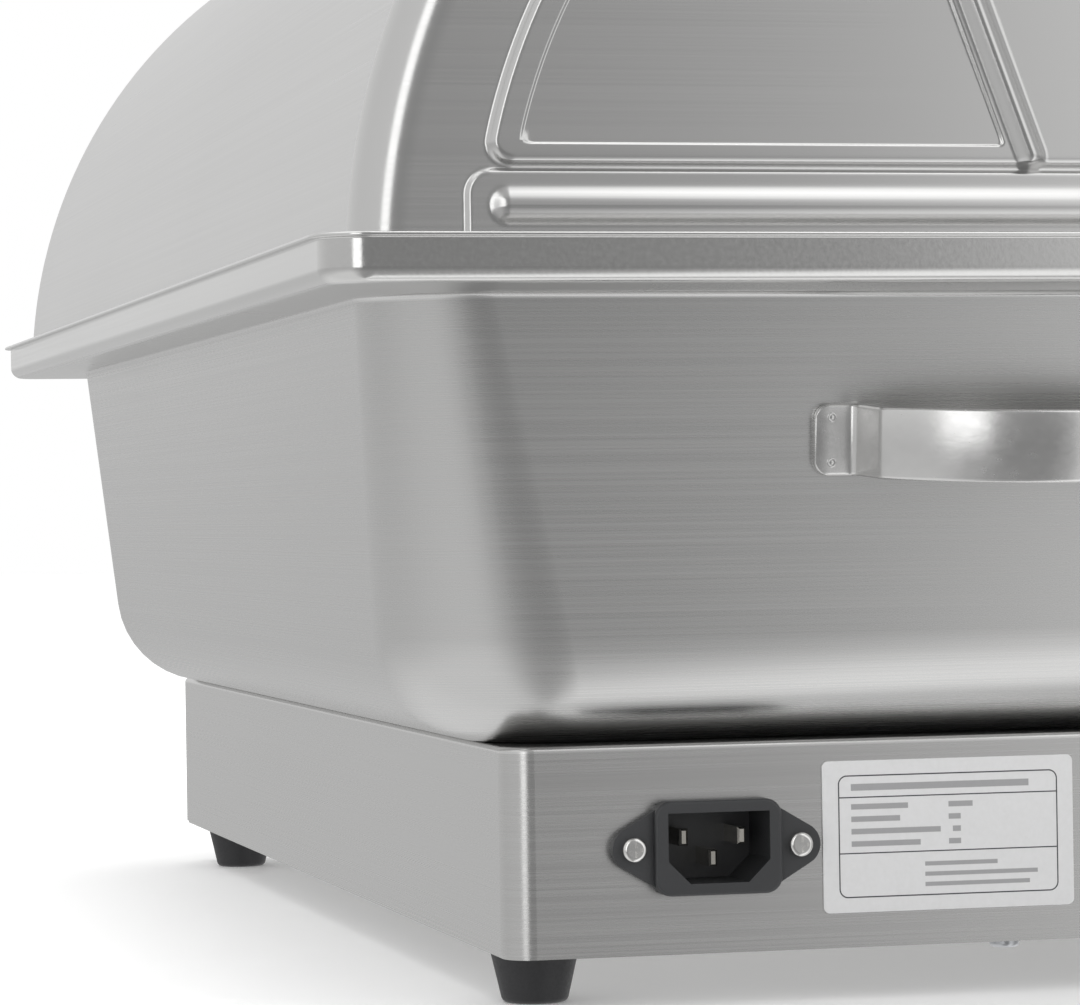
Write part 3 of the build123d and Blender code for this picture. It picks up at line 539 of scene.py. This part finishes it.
def window_depth(y, z):
    """Depth inside the fan window on either side, negative outside it."""
    arc = inset_at(y, z) - WINDOW_OFFSET
    floor = z - WINDOW_BOTTOM
    rib_edge = beside_rib(y, z) - WINDOW_TO_RIB
    return min(rounded_inside(arc, floor, 3.0 * MM), rounded_inside(floor, rib_edge, 1.6 * MM))


def rib_distance(y, z):
    """Distance to the rib's centre line on either side, with a round lower end."""
    end_y = RIB_FOOT + RIB_END_Z * math.tan(RIB_LEAN)
    dy, dz = abs(y) - end_y, z - RIB_END_Z
    along = dy * math.sin(RIB_LEAN) + dz * math.cos(RIB_LEAN)
    if along < 0:
        return math.hypot(dy, dz)
    return abs(beside_rib(y, z))


def end_relief(y, z):
    """How far the pressed pattern stands out of the end panel."""
    inset = inset_at(y, z)
    fan = rounded_inside(inset - FAN_OFFSET, z - FAN_BOTTOM, 7.0 * MM)
    height = FAN_RISE * ramp(fan, 2.2 * MM)
    strip = rounded_inside(STRIP_END - abs(y), STRIP_TOP - z, 6.0 * MM)
    height = max(height, STRIP_RISE * ramp(strip, 1.2 * MM) * ramp(z - 0.5 * MM, 3.0 * MM))
    past_end = max(0.0, abs(y) - (BEAD_END - BEAD_HALF))
    bead = math.hypot(past_end, z - BEAD_Z)
    if bead < BEAD_HALF:
        height = max(height, STRIP_RISE + dome(bead, BEAD_HALF, BEAD_RISE))
    height -= WINDOW_SINK * ramp(window_depth(y, z), 0.5 * MM)
    above_fan_edge = inset - FAN_OFFSET - 2.0 * MM
    height += dome(rib_distance(y, z), RIB_HALF, RIB_RISE) * ramp(above_fan_edge, 4.0 * MM)
    return height


def spaced(start, end, step):
    count = max(1, round(abs(end - start) / step))
    return [start + (end - start) * i / count for i in range(count + 1)]


def joined(*runs):
    """Runs of values that share their end points, as one list."""
    values = list(runs[0])
    for run in runs[1:]:
        values += run[1:]
    return values


def lid_mesh():
    """Points, faces and finish of the lid's outer skin, both ends and the barrel."""
    insets = joined(spaced(END_R, 22 * MM, 1.6 * MM), spaced(22 * MM, 30 * MM, 0.45 * MM),
                    spaced(30 * MM, 32.6 * MM, 0.65 * MM), spaced(32.6 * MM, 34 * MM, 0.25 * MM),
                    spaced(34 * MM, 42 * MM, 0.6 * MM), spaced(42 * MM, INNER_OFFSET, 2.5 * MM))
    heights = joined(spaced(0, 8 * MM, 2 * MM), spaced(8 * MM, 26 * MM, 0.5 * MM),
                     spaced(26 * MM, 28.7 * MM, 0.7 * MM), spaced(28.7 * MM, 30.1 * MM, 0.25 * MM),
                     spaced(30.1 * MM, ROW_TOP, 1.2 * MM))
    rib_angle = math.pi / 2 - RIB_LEAN
    fine_start, fine_end = rib_angle - math.radians(7.0), rib_angle + math.radians(6.0)
    fine_count, rest_count, side_count = 42, 12, 26
    fine = arc_steps(fine_start, fine_end, fine_count)
    rest = arc_steps(fine_end, math.pi / 2, rest_count)
    turns = arc_steps(0.0, math.pi / 2, 12)
    rim = [(END_R * (1 - math.sin(t)), END_X - END_R * (1 - math.cos(t))) for t in turns]

    def half_outline(inset):
        """Inset outline from the foot to the middle of the crown, as (y, z)."""
        start = side_point(inset, ROW_TOP)
        low = math.atan2(ROW_TOP + RAY_DROP, start)
        side = arc_steps(low, fine_start, side_count)[1:-1]
        return ([(side_point(inset, z), z) for z in heights]
                + [ray_point(inset, a) for a in joined(side + [fine[0]], fine, rest)])

    points, faces, finishes, rows, kinds = [], [], [], [], []

    def add_row(inset, kind, x_of):
        half = half_outline(inset)
        rows.append(len(points))
        kinds.append(kind)
        for y, z in half + [(-y, z) for y, z in reversed(half[:-1])]:
            points.append((x_of(y, z), y, Z_LEDGE + z))
        return 2 * len(half) - 1

    for inset in reversed(insets[1:]):
        count = add_row(inset, "end", lambda y, z: -END_X - end_relief(y, z))
    for inset, x in rim:
        add_row(inset, "end", lambda y, z, x=x: -x)
    for inset, x in reversed(rim):
        add_row(inset, "barrel" if x == rim[-1][1] else "end", lambda y, z, x=x: x)
    for inset in insets[1:]:
        add_row(inset, "end", lambda y, z: END_X + end_relief(y, z))
    for a, b, kind in zip(rows, rows[1:], kinds[1:]):
        for i in range(count - 1):
            faces.append((a + i, a + i + 1, b + i + 1, b + i))
            finishes.append(0 if kind == "barrel" else 1)

    def columns(z, right):
        """Half widths of the inner columns at a height, close together beside the rib."""
        rib = RIB_FOOT + z * math.tan(RIB_LEAN)
        outer = min(rib + 7.5 * MM, right - 2 * MM)
        inner = max(rib - 6.5 * MM, 0.3 * MM)
        half = joined(arc_steps(right, outer, side_count), arc_steps(outer, inner, fine_count),
                      arc_steps(inner, 0.0, rest_count))
        return half + [-y for y in reversed(half[:-1])]

    def add_inner(end, ys_and_zs, first, last):
        line = [first]
        for y, z in ys_and_zs[1:-1]:
            points.append((end * (END_X + end_relief(y, z)), y, Z_LEDGE + z))
            line.append(len(points) - 1)
        return line + [last]

    # the middle of each end panel, inside the innermost outline
    low_rows = len(heights) - 1
    right_of = [side_point(INNER_OFFSET, z) for z in heights]
    for end, row in ((-1, rows[0]), (1, rows[-1])):
        arch = [row + i for i in range(low_rows, count - low_rows)]
        grid = []
        for level, (z, right) in enumerate(zip(heights, right_of)):
            line = [(y, z) for y in columns(z, right)]
            grid.append(add_inner(end, line, row + level, row + count - 1 - level))
        top_line = [(y, ROW_TOP) for y in columns(ROW_TOP, right_of[-1])]
        steps = 5
        for level in range(1, steps):
            share = level / steps
            line = []
            for (y, z), index in zip(top_line, arch):
                line.append((lerp(y, points[index][1], share),
                             lerp(z, points[index][2] - Z_LEDGE, share)))
            grid.append(add_inner(end, line, arch[0], arch[-1]))
        grid.append(arch)
        for low, high in zip(grid, grid[1:]):
            for i in range(len(arch) - 1):
                corners = (low[i], low[i + 1], high[i + 1], high[i])
                unique = list(dict.fromkeys(corners))
                if len(unique) > 2:
                    faces.append(tuple(unique if end < 0 else reversed(unique)))
                    finishes.append(1)
    return points, faces, finishes


def build_lid():
    points, faces, finishes = lid_mesh()
    lid = add_mesh("lid_pressing", points, faces, 50.0)
    finish_piece(lid, "lid", ["lid_shell"], "satin_steel", steel_barrel, steel_end)
    for face, index in zip(lid.data.polygons, finishes):
        face.material_index = index
    shell = lid.modifiers.new("sheet", "SOLIDIFY")
    shell.thickness = LID_SHEET
    shell.offset = -1.0


build_lid()


# --------------------------------------------------------------- strap handles
STRAP = 2.0 * MM
HANDLE_H = 16.6 * MM
BOW_OUT = 30.0 * MM
BOW_R = 60.0 * MM
BOW_ANGLE = math.radians(42.0)
STEP_ANGLE = math.radians(78.0)
BEND_R = 3.0 * MM
TAB_END = 53.8 * MM
TAB_CORNER = 3.4 * MM
WELD_ALONG = 49.8                        # weld places on a tab, in millimetres
WELD_ACROSS = 5.2


def half_strap_path():
    """Centre line from the bow's middle to the tab's end, as (along, out, slope)."""
    path = []
    top = BOW_OUT - STRAP / 2
    for a in arc_steps(0.0, BOW_ANGLE, 22):
        path.append((BOW_R * math.sin(a), top - BOW_R * (1 - math.cos(a)), a))
    along, out, _ = path[-1]
    for a in arc_steps(BOW_ANGLE, STEP_ANGLE, 8)[1:]:
        path.append((along + BEND_R * (math.sin(a) - math.sin(BOW_ANGLE)),
                     out - BEND_R * (math.cos(BOW_ANGLE) - math.cos(a)), a))
    along, out, _ = path[-1]
    drop = out - STRAP / 2 - BEND_R * (1 - math.cos(STEP_ANGLE))
    along += drop / math.tan(STEP_ANGLE)
    out -= drop
    path.append((along, out, STEP_ANGLE))
    for a in arc_steps(STEP_ANGLE, 0.0, 8)[1:]:
        path.append((along + BEND_R * (math.sin(STEP_ANGLE) - math.sin(a)),
                     out - BEND_R * (math.cos(a) - math.cos(STEP_ANGLE)), a))
    along = path[-1][0]
    path += [(a, STRAP / 2, 0.0) for a in spaced(along, TAB_END - TAB_CORNER, 1.0 * MM)[1:]]
    path += [(TAB_END - TAB_CORNER + TAB_CORNER * math.sin(a), STRAP / 2, 0.0)
             for a in arc_steps(0, math.pi / 2, 8)[1:]]
    return path


def strap_section(half_height):
    """Rounded strap section, as (across, out) about the centre line."""
    edge = min(0.85 * MM, half_height * 0.45)
    corners = [(half_height, STRAP / 2), (-half_height, STRAP / 2),
               (-half_height, -STRAP / 2), (half_height, -STRAP / 2)]
    section = []
    for i, (across, out) in enumerate(corners):
        centre = (across - math.copysign(edge, across), out - math.copysign(edge, out))
        for a in arc_steps(i * math.pi / 2, (i + 1) * math.pi / 2, 4):
            section.append((centre[0] + edge * math.cos(a), centre[1] + edge * math.sin(a)))
    return section


def strap_points():
    """Rings of points along the whole strap, in (along, out, across)."""
    half = half_strap_path()
    whole = [(-a, o, -s) for a, o, s in reversed(half[1:])] + half
    rings = []
    for along, out, slope in whole:
        over = min(1.0, max(0.0, abs(along) - (TAB_END - TAB_CORNER)) / TAB_CORNER)
        half_height = HANDLE_H / 2 - TAB_CORNER * (1 - math.sqrt(1 - over ** 2))
        ring = []
        for across, depth in strap_section(half_height):
            ring.append((along + depth * math.sin(slope), out + depth * math.cos(slope), across))
        rings.append(ring)
    return rings


def build_strap(name, nodes, body, place):
    rings = [[place(*p) for p in ring] for ring in strap_points()]
    strap = skin_rings(name, rings)
    finish_piece(strap, body, nodes, "drawn_steel", steel_handle)


def add_welds(name, body, place):
    """Two pressed spot-weld rings on each tab."""
    points, faces = [], []
    # (radius, rise) across one mark, in millimetres
    profile = [(0.0, 0.06), (0.3, 0.05), (0.5, 0.0), (0.75, 0.02), (0.95, 0.10), (1.12, 0.0)]
    segments = 20
    for along in (-WELD_ALONG, WELD_ALONG):
        for across in (-WELD_ACROSS, WELD_ACROSS):
            start = len(points)
            for radius, rise in profile:
                for i in range(segments):
                    a = 2 * math.pi * i / segments
                    points.append(place((along + radius * math.cos(a)) * MM,
                                        STRAP + (rise + 0.02) * MM,
                                        (across + radius * math.sin(a)) * MM))
            for row in range(len(profile) - 1):
                for i in range(segments):
                    j = (i + 1) % segments
                    low = start + row * segments
                    faces.append((low + i, low + j, low + segments + j, low + segments + i))
    welds = add_mesh(name, points, faces, 60.0)
    welds.data.materials.append(steel_handle)
    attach(welds, body)


WALL_LEAN = math.atan((WALL_TOP[0] - WALL_FOOT[0]) / (Z_LEDGE - Z_DECK))
HANDLE_Z = 131.7 * MM
HANDLE_X = WALL_TOP[0] - (Z_LEDGE - HANDLE_Z) * math.tan(WALL_LEAN)


def against_wall(side):
    """Placement for a handle on an end wall; the wall leans in towards its foot."""
    def place(along, out, across):
        reach = HANDLE_X + out * math.cos(WALL_LEAN) + across * math.sin(WALL_LEAN)
        height = HANDLE_Z - out * math.sin(WALL_LEAN) + across * math.cos(WALL_LEAN)
        return (side * reach, -side * along, height)
    return place


CROWN_TOP = Z_LEDGE + CROWN_R - CROWN_DROP


def on_crown(along, out, across):
    sag = CROWN_R - math.sqrt(CROWN_R ** 2 - across ** 2)
    return (along, -across, CROWN_TOP + out - sag * ramp(3 * MM - out, 2 * MM))


for end, side in (("left", -1), ("right", 1)):
    build_strap(f"strap_handle_{end}", [f"side_handle_{end}"], "base", against_wall(side))
    add_welds(f"handle_welds_{end}", "base", against_wall(side))
build_strap("strap_handle_lid", ["lid_handle"], "lid", on_crown)
add_welds("handle_welds_lid", "lid", on_crown)


# ----------------------------------------------------------------- the studio
def stage_plane(name, size, location, rotation, material):
    mesh = bpy.data.meshes.new(name)
    w, h = size[0] / 2, size[1] / 2
    mesh.from_pydata([(-w, -h, 0), (w, -h, 0), (w, h, 0), (-w, h, 0)], [], [(0, 1, 2, 3)])
    plane = bpy.data.objects.new(name, mesh)
    bpy.context.scene.collection.objects.link(plane)
    plane.location = location
    plane.rotation_euler = rotation
    mesh.materials.append(material)
    return plane


floor_material = plain("pale_floor", (0.94, 0.94, 0.94), 0.6, 0.0, 60.0, 0.0, 0.01,
                       Emission_Color=(1, 1, 1, 1), Emission_Strength=0.1)
floor = stage_plane("floor", (16, 16), (0, 0, 0), (0, 0, 0), floor_material)
floor.visible_glossy = False


def ramp_node(tree, value, stops):
    """Grey ramp at half brightness, so that values up to 2 fit."""
    ramp = tree.nodes.new("ShaderNodeValToRGB")
    ramp.color_ramp.interpolation = "LINEAR"
    elements = ramp.color_ramp.elements
    while len(elements) < len(stops):
        elements.new(0.5)
    for element, (position, level) in zip(elements, stops):
        element.position = position
        element.color = (level / 2, level / 2, level / 2, 1.0)
    link(tree, value, ramp.inputs[0])
    return ramp.outputs[0]


# brightness by compass direction from +X towards +Y, and by angle above the horizon
ROUND_THE_ROOM = [(0, 0.80), (14, 0.80), (40, 0.80), (70, 0.75), (100, 0.76), (135, 0.76),
                  (150, 0.55), (163, 0.36), (190, 0.33), (196, 0.40), (199, 0.5), (201, 0.8),
                  (203, 1.1), (225, 1.15), (243, 0.55), (262, 0.5), (285, 1.0), (320, 1.0),
                  (345, 0.75), (360, 0.80)]
FLOOR_TO_CEILING = [(-90, 1.1), (-38, 1.1), (-12, 0.75), (-2, 0.75), (3, 1.0), (38, 1.0),
                    (62, 1.7), (90, 1.9)]


def studio_world():
    """White room for diffuse light; reflections see it vary by direction and height."""
    world = bpy.data.worlds.new("studio")
    bpy.context.scene.world = world
    world.use_nodes = True
    tree = world.node_tree
    background = tree.nodes["Background"]
    coords = tree.nodes.new("ShaderNodeTexCoord")
    split = tree.nodes.new("ShaderNodeSeparateXYZ")
    link(tree, coords.outputs["Generated"], split.inputs[0])
    turn = math_node(tree, "ARCTAN2", split.outputs[1], split.outputs[0])
    share = math_node(tree, "FRACT", math_node(tree, "DIVIDE", turn, 2 * math.pi))
    round_room = ramp_node(tree, share, [(a / 360, v) for a, v in ROUND_THE_ROOM])
    height = math_node(tree, "MULTIPLY_ADD", split.outputs[2], 0.5, 0.5)
    stops = [(0.5 + 0.5 * math.sin(math.radians(a)), v) for a, v in FLOOR_TO_CEILING]
    product = math_node(tree, "MULTIPLY", round_room, ramp_node(tree, height, stops))
    undo_halving = 4.0                      # both ramps hold half brightness
    seen_in_steel = math_node(tree, "MULTIPLY", product, undo_halving)
    paths = tree.nodes.new("ShaderNodeLightPath")
    choose = tree.nodes.new("ShaderNodeMix")
    choose.data_type = "FLOAT"
    link(tree, paths.outputs["Is Glossy Ray"], choose.inputs[0])
    choose.inputs[2].default_value = 1.0
    link(tree, seen_in_steel, choose.inputs[3])
    background.inputs["Color"].default_value = (1.0, 1.0, 1.0, 1.0)
    link(tree, choose.outputs[0], background.inputs["Strength"])


studio_world()


def softbox(name, location, target, size, power):
    data = bpy.data.lights.new(name, "AREA")
    data.shape = "RECTANGLE"
    data.size, data.size_y = size
    data.energy = power
    lamp = bpy.data.objects.new(name, data)
    bpy.context.scene.collection.objects.link(lamp)
    lamp.location = location
    aim = Vector(target) - Vector(location)
    lamp.rotation_euler = aim.to_track_quat("-Z", "Y").to_euler()
    lamp.visible_camera = False
    lamp.visible_glossy = False


softbox("overhead", (0.3, 0.2, 2.2), (0, 0, 0), (2.4, 2.0), 34.0)
softbox("right_side", (-1.5, -1.6, 0.9), (0, 0, 0.15), (1.2, 1.0), 14.0)


def glow(name, strength):
    material = bpy.data.materials.new(name)
    material.use_nodes = True
    tree = material.node_tree
    tree.nodes.clear()
    output = tree.nodes.new("ShaderNodeOutputMaterial")
    emission = tree.nodes.new("ShaderNodeEmission")
    emission.inputs["Color"].default_value = (1, 1, 1, 1)
    emission.inputs["Strength"].default_value = strength
    link(tree, emission.outputs[0], output.inputs["Surface"])
    return material


def reflection_card(name, azimuth, distance, width, bottom, top, strength):
    """Upright card that only reflections see; azimuth counts from +X towards +Y."""
    a = math.radians(azimuth)
    card = stage_plane(name, (width, top - bottom),
                       (distance * math.cos(a), distance * math.sin(a), (bottom + top) / 2),
                       (math.pi / 2, 0, a + math.pi / 2), glow(name, strength))
    card.visible_camera = False
    card.visible_diffuse = False
    card.visible_shadow = False
    card.visible_transmission = False


reflection_card("bright_strip", azimuth=152.0, distance=4.0, width=1.35, bottom=-0.36,
                top=3.2, strength=1.7)


# ------------------------------------------------------------------ the camera
camera_data = bpy.data.cameras.new("camera")
camera = bpy.data.objects.new("camera", camera_data)
bpy.context.scene.collection.objects.link(camera)
bpy.context.scene.camera = camera
CAMERA_AT = Vector((-1.1792, 0.3434, 0.1156))
YAW = math.radians(13.685)
PITCH = math.radians(0.154)
ROLL = math.radians(-0.885)
SENSOR_MM = 36.0
LENS_MM = 140.2333
camera.location = CAMERA_AT
forward = Vector((math.cos(YAW) * math.cos(PITCH), -math.sin(YAW) * math.cos(PITCH),
                  math.sin(PITCH)))
right = Vector((-math.sin(YAW), -math.cos(YAW), 0.0))
up = right.cross(forward)
rolled_right = right * math.cos(ROLL) + up * math.sin(ROLL)
rolled_up = -right * math.sin(ROLL) + up * math.cos(ROLL)
axes = Matrix((rolled_right, rolled_up, -forward)).transposed()
camera.rotation_mode = "QUATERNION"
camera.rotation_quaternion = axes.to_quaternion()
camera_data.sensor_width = SENSOR_MM
camera_data.lens = LENS_MM
camera_data.clip_start = 0.01

bpy.context.scene.view_settings.view_transform = "Standard"
